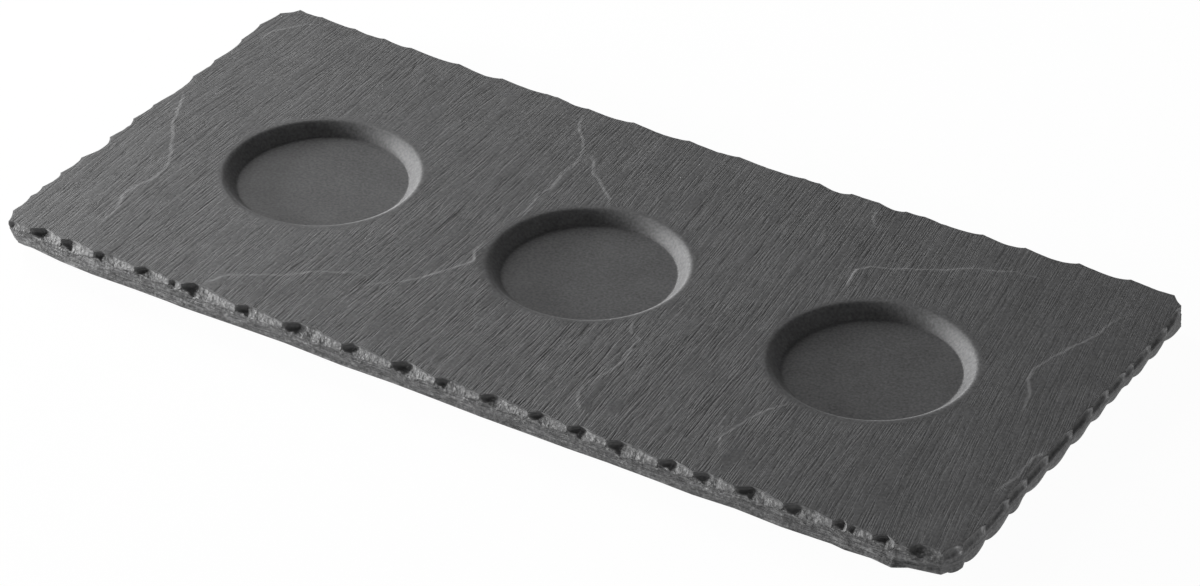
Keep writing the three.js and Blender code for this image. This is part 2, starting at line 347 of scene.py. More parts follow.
class TrayBodySettings(bpy.types.PropertyGroup):
    """Sizes and colours of the ceramic slab."""

    well_floor: FloatProperty(
        name="Well floor", description="Diameter of a well's flat floor",
        default=0.0485, min=0.02, unit="LENGTH")
    well_wall_slope: FloatProperty(
        name="Wall slope", description="Rise of a well's wall over its run",
        default=1.11, min=0.3)
    well_lip: FloatProperty(
        name="Lip", description="Height over which the wall eases into the deck",
        default=0.0013, min=0.0001, unit="LENGTH")
    cleft_height: FloatProperty(
        name="Cleft height", description="Height of the steps where a layer has split away",
        default=0.0002, min=0.0, unit="LENGTH")
    waviness: FloatProperty(
        name="Waviness", description="Height of the deck's slow undulation",
        default=0.00006, min=0.0, unit="LENGTH")
    chip_roughness: FloatProperty(
        name="Chip roughness", description="Height of the grain on broken faces",
        default=0.00014, min=0.0, unit="LENGTH")
    line_depth: FloatProperty(
        name="Line depth", description="Depth of the fine cleaving lines",
        default=0.00002, min=0.0, unit="LENGTH")
    # Painted shade: the ceramic's colour in the pits is darkened to stand in for their shadow
    pit_painted_shade: FloatProperty(
        name="Pit darkness", description="How much darker the ceramic is in its pits",
        default=0.5, min=0.0, max=1.0)
    stone: FloatVectorProperty(
        name="Stone", description="Colour of the ceramic", subtype="COLOR", size=3,
        default=(0.0955, 0.0955, 0.097), min=0.0, max=1.0)
    pale: FloatVectorProperty(
        name="Pale grain", description="Colour of the grains on broken faces", subtype="COLOR", size=3,
        default=(0.21, 0.21, 0.21), min=0.0, max=1.0)


class TrayFootSettings(bpy.types.PropertyGroup):
    """Sizes and colours of the pads and their foam discs."""

    edge_round: FloatProperty(
        name="Edge rounding", description="Radius of a pad's lower edge",
        default=0.0005, min=0.0001, unit="LENGTH")
    grip_depth: FloatProperty(
        name="Grip depth", description="Depth of the rings on a pad's sole",
        default=0.00015, min=0.0, unit="LENGTH")
    rubber: FloatVectorProperty(
        name="Rubber", description="Colour of the pads", subtype="COLOR", size=3,
        default=(0.018, 0.018, 0.019), min=0.0, max=1.0)
    foam: FloatVectorProperty(
        name="Foam", description="Colour of the adhesive discs", subtype="COLOR", size=3,
        default=(0.55, 0.54, 0.5), min=0.0, max=1.0)


class TrayStageSettings(bpy.types.PropertyGroup):
    """Camera, lamps and floor."""

    azimuth: FloatProperty(
        name="Azimuth", description="Camera's turn from the front", subtype="ANGLE",
        default=math.radians(31.914))
    elevation: FloatProperty(
        name="Elevation", description="Camera's height above the deck", subtype="ANGLE",
        default=math.radians(33.593))
    distance: FloatProperty(
        name="Distance", description="Camera's distance from its target",
        default=1.276265, unit="LENGTH")
    target: FloatVectorProperty(
        name="Target", description="Point that the camera looks at", subtype="TRANSLATION", size=3,
        default=(0.011682, -0.011877, 0.01))
    lens: FloatProperty(name="Lens", description="Focal length on a 36 mm sensor", default=142.358)
    low_power: FloatProperty(
        name="Low softbox", description="Power of the softbox near the floor",
        default=38.5, unit="POWER")
    tall_power: FloatProperty(
        name="Tall softbox", description="Power of the tall softbox behind it",
        default=13.5, unit="POWER")
    strip_power: FloatProperty(
        name="Edge strip", description="Power of the strip near the floor on the right",
        default=0.9, unit="POWER")
    fill: FloatProperty(
        name="Fill", description="Strength of the even light from all round", default=0.13)
    glow: FloatProperty(
        name="Floor glow", description="Strength of the light that the floor gives off", default=0.35)
    floor: FloatVectorProperty(
        name="Floor", description="Colour of the floor and backdrop", subtype="COLOR", size=3,
        default=(0.85, 0.85, 0.85), min=0.0, max=1.0)


def ease(low, high, value):
    """Smooth step: 0 below low, 1 above high, and 3s^2 - 2s^3 of the share s between them."""
    share = np.clip((value - low) / (high - low), 0.0, 1.0)
    return share * share * (3.0 - 2.0 * share)


def soft_noise(u, v, seed):
    """Value noise from -1 to 1: random heights on a lattice, eased between the nearest four."""
    lattice = np.random.default_rng(seed).uniform(-1.0, 1.0, (LATTICE, LATTICE))
    column = np.floor(u).astype(int)
    row = np.floor(v).astype(int)
    across = ease(0.0, 1.0, u - column)
    along = ease(0.0, 1.0, v - row)

    def eased(beside):
        """The lattice row beside the point, eased between its two nearest heights."""
        line = (row + beside) % LATTICE
        left = lattice[column % LATTICE, line]
        return left * (1 - across) + lattice[(column + 1) % LATTICE, line] * across

    return eased(0) * (1 - along) + eased(1) * along


def layered_noise(u, v, seed, layers=3):
    """Sum of soft noises, each half as high and half as wide as the one before, and shifted."""
    total = 0.0
    for layer in range(layers):
        finer = 2 ** layer
        across, along = u * finer + LAYER_SHIFTS[0] * layer, v * finer + LAYER_SHIFTS[1] * layer
        total = total + soft_noise(across, along, seed + layer) / finer
    return total


def smooth_max(a, b, blend):
    """The larger of a and b, rounded where they differ by less than blend."""
    near = np.clip(1.0 - np.abs(a - b) / blend, 0.0, 1.0)
    return np.maximum(a, b) + near * near * blend / 4


def smooth_min(a, b, blend):
    """The smaller of a and b, rounded in the same way."""
    return -smooth_max(-a, -b, blend)


def new_piece(name, vertices, faces, material, replaced):
    """A smooth-shaded mesh object at the origin, from points in millimetres, fixed to the tray."""
    mesh = bpy.data.meshes.new(name)
    mesh.from_pydata((vertices * MM).tolist(), [], faces)
    mesh.validate()
    mesh.polygons.foreach_set("use_smooth", np.ones(len(mesh.polygons), dtype=bool))
    mesh.materials.append(material)
    mesh.update()
    piece = bpy.data.objects.new(name, mesh)
    bpy.context.scene.collection.objects.link(piece)
    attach(piece, "root")
    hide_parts(replaced)
    return piece


def well_places():
    """Plan centres of the wells and the height of their floors, from the record's mounts, in mm."""
    mounts = {mount["name"]: mount for mount in frame["record"]["mounts"]}
    return np.array([mounts[name]["pos_m"] for name in WELLS]) / MM


class Edge:
    """The chipped edge as columns: place t along each bite, with the bite's inset and drop there.

    A rounded bite is sin(pi t^skew) deep, so it falls away fast after its first cusp and runs out
    slowly. A notched one has two nearly straight legs in plan: a short steep wall that runs in from
    the first cusp, and a long slanting facet that runs out to the next. A bite starts as a pit, and
    the sizes of pits differ a little from one to the next.
    """

    def __init__(self):
        rows = np.array([row for side in SIDES for row in side["cusps"]], dtype=float)
        sides = {name: np.concatenate([np.full(len(side["cusps"]), side[name]) for side in SIDES])
                 for name in SIDES[0] if name != "cusps"}
        chance = np.random.default_rng(CHIP_SEED)
        wall_vary, drop_vary, tail = chance.uniform(*CHIP_VARIETY, (3, len(rows)))
        point = rows[:, :2]
        after = np.roll(point, -1, axis=0)
        chord = after - np.roll(point, 1, axis=0)
        outward = np.stack([chord[:, 1], -chord[:, 0]], axis=1)
        outward /= np.linalg.norm(outward, axis=1, keepdims=True)
        length = np.linalg.norm(after - point, axis=1)
        steps = np.maximum(np.round(length / COLUMN_SPACING).astype(int), FEWEST_COLUMNS)
        chip = np.repeat(np.arange(len(rows)), steps)
        first = np.repeat(np.cumsum(steps) - steps, steps)
        t = (np.arange(len(chip)) - first) / steps[chip]
        following = (chip + 1) % len(rows)
        self.chip = chip
        self.t = t
        self.side = {name: values[chip] for name, values in sides.items()}
        self.along = np.repeat(np.cumsum(length) - length, steps) + t * length[chip]
        self.middle = point[chip] + (after - point)[chip] * t[:, None]
        mixed = outward[chip] + (outward[following] - outward[chip]) * t[:, None]
        self.outward = mixed / np.linalg.norm(mixed, axis=1, keepdims=True)
        walked = t * length[chip]
        self.before = length[chip] - walked
        notch = self.side["notch"]
        wall_run = np.minimum(sides["wall_run"] * rows[:, 2] * wall_vary, LONGEST_WALL * length)
        held = np.maximum(wall_run, sides["hold"] * length)[chip]
        wall = np.clip(walked / wall_run[chip], 0.0, 1.0)
        facet = np.clip((length[chip] - walked) / (length[chip] - held), 0.0, 1.0)
        rounded = np.sin(np.pi * t ** BITE_SKEW)
        legs = np.maximum(smooth_min(wall ** WALL_CURVE, facet ** FACET_CURVE, LEG_BLEND), 0.0)
        self.depth = (1 - notch) * rounded + notch * legs
        self.bite = rows[chip, 2] * self.depth
        self.in_pit = walked / np.maximum(wall_run, sides["pit_hold"] * length)[chip]
        pit_size = sides["pit"] * np.minimum(rows[:, 2] / FULL_BITE * 2, 1.0)
        self.pit_size = pit_size[chip] * ease(0.0, PIT_START, wall)
        self.pit_size *= 1.0 - self.side["calm"] * ease(*CALM_REACH, self.middle[:, 1])
        self.tail = tail[chip]
        small = drop_vary * np.minimum(LEAST_DROP + (1 - LEAST_DROP) * rows[:, 2] / FULL_BITE, 1.0)
        tapered = self.side["pit_height"] * (1 - self.side["taper"] * t)
        pit_height = tapered * np.sin(np.pi / 2 * wall ** PIT_CURVE)
        facet_height = self.side["facet_height"] * (LEAST_FACET + (1 - LEAST_FACET) * facet)
        past = ease(*PIT_END, self.in_pit)
        notched = (pit_height * (1 - past) + facet_height * past) * small[chip]
        height = (1 - notch) * rounded + notch * notched
        uneven = LIP_NOISE * height * layered_noise(self.along / LIP_GRAIN, 0.0, SEEDS["lip"])
        lip = self.side["lip_at_cusp"] + (self.side["lip"] - self.side["lip_at_cusp"]) * height
        self.drop = SIDE_HEIGHT * lip + uneven
        self.ridge = np.exp(-(np.minimum(walked, length[chip] - walked) / RIDGE_WIDTH) ** 2)
        begun = np.cumsum(length) - length
        leant = (self.along - self.side["lean"]) % length.sum()
        below = np.searchsorted(begun, leant, side="right") - 1
        share = (leant - begun[below]) / length[below]
        foot = rows[:, 3]
        swell = sides["bulge"][below] * np.sin(np.pi * share ** BULGE_SKEW)
        self.foot = foot[below] + (np.roll(foot, -1) - foot)[below] * share + swell

    def pit(self, v):
        """How much of a pit each column is at the share v of its hollow's height.

        A pit fades out along the bite, and near the rim it runs on into a tail.
        """
        wander = PIT_WANDER * soft_noise(self.along / PIT_GRAIN, v * 3.0, SEEDS["pit"])
        return self.pit_size * ease(PIT_FADE[0] + self.tail * (1 - v), PIT_FADE[1], self.in_pit + wander)

    def rings(self, roughness):
        """Reach outward, fall below the deck, shares of hollow and band, painted pit shade and painted light
        and shade, ring by column.

        From the deck a ring runs over an eased rim, down a scooped hollow to the bite's lower lip,
        down the layered band to the lower edge and in under the slab. In the hollow the inset shrinks
        as 1 - v^p while the fall grows as v^0.8. In a pit p is larger, which makes it steeper, and the
        hollow goes in under the rim as sin(pi v). Noise along the edge roughens both, and the band
        steps in and out layer by layer. The pit share is painted shade: it darkens the pits' colour to stand
        in for their shadow. The last share is painted light above 0, where a bite ends before a cusp, on a
        strip that narrows downwards and stands in for a lit facet, and painted shade below 0, in a hollow
        outside its pit.
        """
        reach, fall, hollow, band, pits, worn = [], [], [], [], [], []
        broken, eased = self.side["broken"], self.side["eased"]

        def ring(out, down, in_hollow=0.0, in_band=0.0, in_pit=0.0, painted_share=0.0):
            values = (out, down, in_hollow, in_band, in_pit, painted_share)
            for rows, value in zip((reach, fall, hollow, band, pits, worn), values):
                rows.append(value + np.zeros_like(self.t))

        rim_noise = layered_noise(self.along / RIM_GRAIN, 0.0, SEEDS["rim"])
        ragged = np.minimum(RAGGED_RIM * (rim_noise - RIM_SHIFT), RIM_LIMIT) * self.side["ragged"]
        bumps = np.maximum(layered_noise(self.along / FACET_GRAIN, 0.0, SEEDS["facet"], 2), 0.0)
        bumps = bumps * (1 - self.pit(0.5))
        top = -self.bite + ragged * (RAGGED_CUSP + (1 - RAGGED_CUSP) * np.minimum(self.depth, 1.0))
        top = top - FACET_BUMPS * self.side["ragged"] * bumps * np.minimum(self.depth * BUMPS_ONSET, 1.0)
        for inset, down in EASED_ROWS:
            ring(top - inset * eased, down * eased)
        rim = EASED_ROWS[-1][1] * eased
        for v in np.linspace(0.0, 1.0, HOLLOW_ROWS + 1)[1:]:
            pit = self.pit(v)
            grain = roughness * layered_noise(self.along / HOLLOW_GRAIN, v * 6.0, SEEDS["hollow"])
            fade = math.sin(math.pi * min(v + GRAIN_ONSET, 1.0))
            grainy = np.maximum(broken, self.ridge) * (1 - pit)
            under = self.side["under"] * pit * math.sin(math.pi * v)
            out = top * (1 - v ** (HOLLOW_CURVE + PIT_STEEPNESS * pit)) - under - np.abs(grain) * fade
            down = rim + (self.drop - rim) * v ** FALL_CURVE
            # Painted shade: the pit's colour is darkened to stand in for its shadow
            painted_shade = pit * ease(*PIT_SHADE_FROM, v) * ease(*PIT_SHADE_UNTIL, v)
            # Painted light: a pale strip where a bite ends stands in for a lit facet; the hollow outside the
            # pit gets painted shade
            strip = PAINTED_STRIP_WIDTH * (PAINTED_STRIP_TAPER[0] - PAINTED_STRIP_TAPER[1] * v)
            pale = self.side["worn"] * ease(*PAINTED_STRIP_FADE, self.before / strip)
            ring(out, down, grainy, 0.0, painted_shade, pale - self.side["painted_hollow_shade"] * (1 - pit))
        lowest = SIDE_HEIGHT - LOWER_EASE
        for w in np.linspace(0.0, 1.0, BAND_ROWS + 1)[1:]:
            down = self.drop + (lowest - self.drop) * w
            layers = soft_noise(self.along / LONG_LAYER[0], down / LONG_LAYER[1], SEEDS["long_layer"])
            short = soft_noise(self.along / SHORT_LAYER[0], down / SHORT_LAYER[1], SEEDS["short_layer"])
            layers = layers + SHORT_LAYERS * short
            bulged = self.foot * w ** FOOT_CURVE + BAND_BULGE * math.sin(math.pi * w)
            wander = BAND_WANDER * soft_noise(self.along / BAND_GRAIN, 0.0, SEEDS["band"])
            grainy = ease(*BAND_GRAINY, w + wander)
            step = LAYER_STEP * broken * (layers - LAYER_SHIFT) * (1 - w ** LAYER_FADE)
            ring(bulged + step, down, broken * np.maximum(grainy, LEAST_GRAIN), broken)
        (inset, rise), (last_inset, last_rise) = LOWER_ROUNDING
        ring(self.foot - inset, SIDE_HEIGHT - rise, LOWER_GRAIN[0] * broken, LOWER_GRAIN[1] * broken)
        ring(self.foot - last_inset, SIDE_HEIGHT - last_rise)
        return tuple(np.array(rows) for rows in (reach, fall, hollow, band, pits, worn))


def sideways(path):
    """Unit vectors square to a path's run, towards its left hand."""
    run = np.gradient(path, axis=0)
    return np.stack([-run[:, 1], run[:, 0]], axis=1) / np.linalg.norm(run, axis=1, keepdims=True)


def cleft_paths():
    """Each cleft line resampled at even steps and shifted sideways by a small noise."""
    paths = []
    for number, line in enumerate(CLEFTS):
        corner = np.array(line)
        walked = np.concatenate([[0.0], np.cumsum(np.linalg.norm(np.diff(corner, axis=0), axis=1))])
        place = np.linspace(0.0, walked[-1], int(walked[-1] / CLEFT_STEP) + 2)
        path = np.stack([np.interp(place, walked, corner[:, axis]) for axis in (0, 1)], axis=1)
        wander = layered_noise(place / CLEFT_BENDS, 0.0, SEEDS["cleft_path"] + number)
        paths.append(path + sideways(path) * CLEFT_WOBBLE * wander[:, None])
    return paths


def cleft_relief(x, y, paths, height):
    """Steps along the cleft lines and the shares of their pale lines, which are painted light on the risers.

    A point takes its signed distance d from the nearest stretch of a line, positive on the left hand.
    The step rises by height within a fraction of a millimetre and sinks again as exp(-d / sink). It
    fades towards both ends of the line, and its height wanders along it. The pale line is painted light that
    stands in for the lit riser, exp(-(d / width)^2).
    """
    relief = np.zeros_like(x)
    painted_highlight = np.zeros_like(x)
    for number, path in enumerate(paths):
        near = np.flatnonzero((x > path[:, 0].min() - CLEFT_REACH) & (x < path[:, 0].max() + CLEFT_REACH))
        start, run = path[:-1], np.diff(path, axis=0)
        length = np.linalg.norm(run, axis=1)
        begun = np.cumsum(length) - length
        offset = np.stack([x[near], y[near]], axis=1)[:, None, :] - start[None]
        t = np.clip((offset * run).sum(axis=2) / length ** 2, 0.0, 1.0)
        distance = np.linalg.norm(offset - t[:, :, None] * run[None], axis=2)
        nearest = distance.argmin(axis=1)
        row = np.arange(len(near))
        side = run[nearest, 0] * offset[row, nearest, 1] - run[nearest, 1] * offset[row, nearest, 0]
        signed = distance[row, nearest] * np.sign(side)
        walked = begun[nearest] + t[row, nearest] * length[nearest]
        total = length.sum()
        fade = ease(*CLEFT_FADE, walked) * ease(total - CLEFT_FADE[0], total - CLEFT_FADE[1], walked)
        least, swing, size = CLEFT_STRENGTH
        strength = fade * (least + swing * soft_noise(walked / size, 0.0, SEEDS["cleft_height"] + number))
        rise = height * strength * ease(-CLEFT_RISE, CLEFT_RISE, signed)
        relief[near] += rise * np.exp(-np.maximum(signed, 0.0) / CLEFT_SINK)
        # Painted light: a pale line along the riser, standing in for the light it catches
        pale = CLEFT_PAINTED_LIGHT[number] * strength * np.exp(-(signed / CLEFT_WIDTH) ** 2)
        painted_highlight[near] = np.maximum(painted_highlight[near], pale)
    return relief, painted_highlight


def grain_across(x, y):
    """Distance across the cleaving lines: they run along y on the left and lean over to the right."""
    lean = np.tan(sum(np.radians(angle) * ease(low, high, x) for angle, low, high in LEANS))
    return x + y * lean + LEAN_WANDER * soft_noise(x / LEAN_SIZE[0], y / LEAN_SIZE[1], SEEDS["lean"])


def deck_surface(x, y, wells, paths, settings):
    """Height of the top below the slab's highest level in millimetres, its masks and its grain.

    A well is a straight wall line, rounded into the floor below it and into the deck above it. The
    deck adds the cleft steps, a slow undulation and long low ridges along the cleaving lines, all
    of them fading out in a smooth ring round each well, and sinks by the highest of them. The masks
    are the strength of the cleaving lines and the painted highlights: the pale lines of the clefts and those
    of the lit rims, a narrow line exp(-(d / width)^2) at the distance d from a rim, on one side of each well.
    """
    apart = np.hypot(x[:, None] - wells[:, 0], y[:, None] - wells[:, 1])
    away = np.min(apart, axis=1)
    depth = settings["slab_top"] - wells[0, 2]
    wall = (away - settings["floor_radius"]) * settings["wall_slope"] - depth
    well = smooth_min(smooth_max(wall, -depth, WELL_FLOOR_BLEND), 0.0, settings["lip"])
    open_deck = ease(*DECK_START, away)
    clefts, line = cleft_relief(x, y, paths, settings["cleft"])
    across = grain_across(x, y)
    slow = settings["waviness"] * layered_noise(x / WAVE_SIZE[0], y / WAVE_SIZE[1], SEEDS["waves"], 2)
    ridges = RIDGE_HEIGHT * layered_noise(across / RIDGE_SIZE[0], y / RIDGE_SIZE[1], SEEDS["ridges"], 2)
    highest = HIGHEST_SHARES[0] * settings["cleft"] + HIGHEST_SHARES[1] * settings["waviness"]
    relief = np.minimum(clefts + slow + ridges - highest, 0.0)
    height = well - highest + (relief + highest) * open_deck
    strong = np.exp(-(x / COMB_FRONT_WIDTH) ** 2) * ease(*COMB_FRONT_REACH, y)
    combed = open_deck * (COMB_BASE + COMB_FRONT * strong - COMB_LOSS * ease(*COMB_LOSS_REACH, x))
    rim = settings["floor_radius"] + depth / settings["wall_slope"]
    nearest = wells[np.argmin(apart, axis=1)]
    # Painted highlight: a pale line along one side of each well's rim, standing in for the light the rim
    # catches
    forward = (x - nearest[:, 0]) * HIGHLIT_SIDE[0] + (y - nearest[:, 1]) * HIGHLIT_SIDE[1]
    on_arc = ease(*HIGHLIT_ARC, forward / np.maximum(away, 1.0))
    rim_highlight = RIM_HIGHLIGHT * np.exp(-((away - rim - HIGHLIT_RIM_SHIFT) / HIGHLIT_RIM_WIDTH) ** 2) * on_arc
    return height, combed, line * open_deck + rim_highlight, across


def hex_points(lowest, highest, spacing):
    """Staggered rows of points over a rectangle."""
    rows = np.arange(lowest[1], highest[1], spacing * math.sqrt(0.75))
    columns = np.arange(lowest[0], highest[0], spacing)
    x, y = np.meshgrid(columns, rows)
    x = x + (np.arange(len(rows)) % 2)[:, None] * spacing / 2
    return np.stack([x.ravel(), y.ravel()], axis=1)


def inside_edge(points, outline, edge, margin):
    """True for the points that lie inside the outline by more than the margin, side by side."""
    count = np.cumsum([0] + [len(side["cusps"]) for side in SIDES])
    keep = np.ones(len(points), dtype=bool)
    for number, (axis, sign) in enumerate(((1, 1), (0, -1), (1, -1), (0, 1))):
        here = (edge.chip >= count[number]) & (edge.chip < count[number + 1])
        line = outline[here]
        order = np.argsort(line[:, 1 - axis])
        limit = np.interp(points[:, 1 - axis], line[order, 1 - axis], line[order, axis])
        keep &= sign * (points[:, axis] - limit) > margin
    return keep


def triangulated(points, loop_size, ring_edges=()):
    """Delaunay triangles inside the loop that the first points make, all turned anticlockwise."""
    loop = list(range(loop_size))
    made = delaunay_2d_cdt(points.tolist(), list(ring_edges), [loop], 1, 1e-6)
    if len(made[0]) != len(points):
        raise RuntimeError("points of the tray's outline coincide")
    triangles = np.array(made[2])
    a, b, c = (points[triangles[:, i]] for i in range(3))
    turned = (b[:, 0] - a[:, 0]) * (c[:, 1] - a[:, 1]) - (b[:, 1] - a[:, 1]) * (c[:, 0] - a[:, 0])
    triangles[turned < 0] = triangles[turned < 0][:, ::-1]
    return triangles


def cleft_rows(paths):
    """Rows of points on both sides of each cleft line, so that the mesh follows its step."""
    rows = []
    for path in paths:
        rows += [path + sideways(path) * shift for shift in CLEFT_ROWS]
    return np.concatenate(rows)


def spread_out(points, spacing):
    """The points without those that share a small square with an earlier one."""
    square = np.floor(points / spacing).astype(int)
    _, first = np.unique(square, axis=0, return_index=True)
    return points[np.sort(first)]


def top_points(outline, edge, wells, paths):
    """Plan points of the top: outline, rings in and round each well, rows along the clefts, the rest."""
    angle = np.arange(WELL_COLUMNS) * 2 * math.pi / WELL_COLUMNS
    circle = np.stack([np.cos(angle), np.sin(angle)], axis=1)
    rings = np.array(WELL_RINGS)
    parts = [outline]
    edges = []
    begin = len(outline)
    for well in wells:
        parts.append((well[:2] + rings[:, None, None] * circle[None]).reshape(-1, 2))
        for ring in range(len(rings)):
            number = begin + ring * WELL_COLUMNS + np.arange(WELL_COLUMNS)
            edges += np.stack([number, np.roll(number, -1)], axis=1).tolist()
        begin += len(rings) * WELL_COLUMNS
        floor = hex_points((-rings[0], -rings[0]), (rings[0], rings[0]), WELL_FLOOR_SPACING)
        floor = floor[np.hypot(floor[:, 0], floor[:, 1]) < rings[0] - WELL_FLOOR_MARGIN]
        parts.append(floor + well[:2])
        begin += len(floor)
    rows = spread_out(cleft_rows(paths), CLEFT_GAP)
    deck = hex_points(outline.min(axis=0), outline.max(axis=0), DECK_SPACING)
    taken, squares = (np.floor(points / CLEFT_ROOM).astype(int) @ (1, SQUARES_IN_ROW)
                      for points in (rows, deck))
    deck = np.concatenate([rows, deck[~np.isin(squares, taken)]])
    deck = deck[inside_edge(deck, outline, edge, DECK_MARGIN)]
    away = np.min(np.hypot(deck[:, :1] - wells[:, 0], deck[:, 1:] - wells[:, 1]), axis=1)
    parts.append(deck[away > rings[-1] + WELL_ROOM])
    return np.concatenate(parts), edges


def tray_skin(settings):
    """Points, faces and masks of the whole closed slab.

    The first ring of the edge is also the outline of the top, and its last ring that of the underside.
    """
    wells = well_places()
    edge = Edge()
    reach, fall, hollow, band, pits, worn = edge.rings(settings["chip"])
    count = len(edge.t)
    plan = edge.middle[None] + edge.outward[None] * reach[:, :, None]
    plan = np.clip(plan, settings["lowest"][:2], settings["highest"][:2])
    under_reach = np.minimum(-UNDERCUT_INSET, edge.foot - LEAST_UNDERCUT)
    foot_rim = edge.middle + edge.outward * under_reach[:, None]
    outline = plan[0]
    paths = cleft_paths()
    flat, ring_edges = top_points(outline, edge, wells, paths)
    top_faces = triangulated(flat, count, ring_edges)
    height, lines, cleft, across = deck_surface(flat[:, 0], flat[:, 1], wells, paths, settings)
    top = settings["slab_top"]
    top_vertices = np.column_stack([flat, top + height])
    side_plan = np.concatenate([plan[1:], foot_rim[None]])
    thickness = settings["slab_top"] - settings["slab_bottom"]
    side_fall = np.concatenate([fall[1:] - height[None, :count] * np.exp(-fall[1:] / RIM_FOLLOWS),
                                np.full((1, count), thickness)])
    side_vertices = np.concatenate([side_plan, (top - side_fall)[:, :, None]], axis=2).reshape(-1, 3)
    base = len(flat)
    ring_start = np.concatenate([[0], base + np.arange(len(side_plan)) * count])
    here = np.arange(count)
    there = np.roll(here, -1)
    upper = ring_start[:-1, None]
    lower = ring_start[1:, None]
    side_faces = np.stack([lower + here, lower + there, upper + there, upper + here], axis=2).reshape(-1, 4)
    under = hex_points(foot_rim.min(axis=0), foot_rim.max(axis=0), UNDERSIDE_SPACING)
    under = under[inside_edge(under, foot_rim, edge, UNDERSIDE_SPACING / 2)]
    under_flat = np.concatenate([foot_rim, under])
    under_faces = triangulated(under_flat, count)[:, ::-1]
    renumber = np.concatenate([ring_start[-1] + here, base + len(side_vertices) + np.arange(len(under))])
    under_vertices = np.column_stack([under, np.full(len(under), settings["slab_bottom"])])
    vertices = np.concatenate([top_vertices, side_vertices, under_vertices])
    faces = top_faces.tolist() + side_faces.tolist() + renumber[under_faces].tolist()

    def on_side(rings):
        """A mask of the edge's rings, as one value for each point of the slab."""
        below = np.concatenate([rings[1:], np.zeros((1, count))]).ravel()
        return np.concatenate([np.zeros(base), below, np.zeros(len(under))])

    masks = {
        "lines": np.concatenate([lines, np.zeros(len(side_vertices) + len(under))]),
        # Painted highlights: the clefts' pale lines and the wells' lit rims
        "cleft": np.concatenate([cleft, np.zeros(len(side_vertices) + len(under))]),
        "chip": on_side(hollow),
        "layers": on_side(band),
        # Painted shade of the pits
        "pit": on_side(pits),
        # Painted light at the ends of bites and painted shade in the hollows
        "worn": on_side(worn),
    }
    side_grain = np.stack([side_fall, np.broadcast_to(edge.along, side_fall.shape)], axis=2).reshape(-1, 2)
    on_deck = np.concatenate([band[1:].max(axis=1) == 0.0, [False]])
    deck_like = np.repeat(on_deck, count)
    rim_across = grain_across(side_vertices[:, 0], side_vertices[:, 1])
    side_grain[deck_like] = np.stack([rim_across, side_vertices[:, 1]], axis=1)[deck_like]
    grain = np.concatenate([np.column_stack([across, flat[:, 1]]), side_grain, under])
    return vertices, faces, masks, np.column_stack([grain, np.zeros(len(grain))])


def add_node(tree, kind, place, inputs=None, **settings):
    """A node with its own settings, and each input given a value or a link from another socket."""
    made = tree.nodes.new(kind)
    made.location = (place[0] * 200, place[1] * 200)
    for name, value in settings.items():
        setattr(made, name, value)
    for name, value in (inputs or {}).items():
        if isinstance(value, bpy.types.NodeSocket):
            tree.links.new(value, made.inputs[name])
        else:
            made.inputs[name].default_value = value
    return made


def math_value(tree, operation, place, *values):
    """The output socket of a Math node."""
    return add_node(tree, "ShaderNodeMath", place, dict(enumerate(values)), operation=operation).outputs[0]


def new_group(name, inputs, outputs):
    """An empty shader node group with a Vector input and named float sockets, and its two end nodes."""
    group = bpy.data.node_groups.new(name, "ShaderNodeTree")
    group.interface.new_socket(name="Vector", in_out="INPUT", socket_type="NodeSocketVector")
    for way, labels in (("INPUT", inputs), ("OUTPUT", outputs)):
        for label in labels:
            group.interface.new_socket(name=label, in_out=way, socket_type="NodeSocketFloat")
    return group, group.nodes.new("NodeGroupInput"), group.nodes.new("NodeGroupOutput")


def matt_grain_group():
    """Fine grain and slow mottling of a matt surface: two noises of the given sizes in millimetres."""
    existing = bpy.data.node_groups.get("matt_grain")
    if existing:
        return existing
    group, start, end = new_group(
        "matt_grain", ("Grain size", "Mottle size", "Mottle", "Specks"), ("Shade", "Height"))
    per_metre = [math_value(group, "DIVIDE", (1, i), 1.0 / MM, start.outputs[name])
                 for i, name in enumerate(("Grain size", "Mottle size"))]
    fine = add_node(group, "ShaderNodeTexNoise", (2, 0),
                    {"Vector": start.outputs["Vector"], "Scale": per_metre[0], "Detail": 2.0})
    slow = add_node(group, "ShaderNodeTexNoise", (2, 2),
                    {"Vector": start.outputs["Vector"], "Scale": per_metre[1], "Detail": 3.0})
    swing = math_value(group, "SUBTRACT", (3, 3), slow.outputs["Fac"], 0.5)
    swing = math_value(group, "MULTIPLY", (3, 2), swing, start.outputs["Mottle"])
    speck = math_value(group, "SUBTRACT", (3, 0), fine.outputs["Fac"], 0.5)
    specked = math_value(group, "MULTIPLY_ADD", (4, 0), speck, start.outputs["Specks"], 1.0)
    shade = math_value(group, "ADD", (5, 2), swing, specked)
    group.links.new(shade, end.inputs["Shade"])
    group.links.new(fine.outputs["Fac"], end.inputs["Height"])
    return group


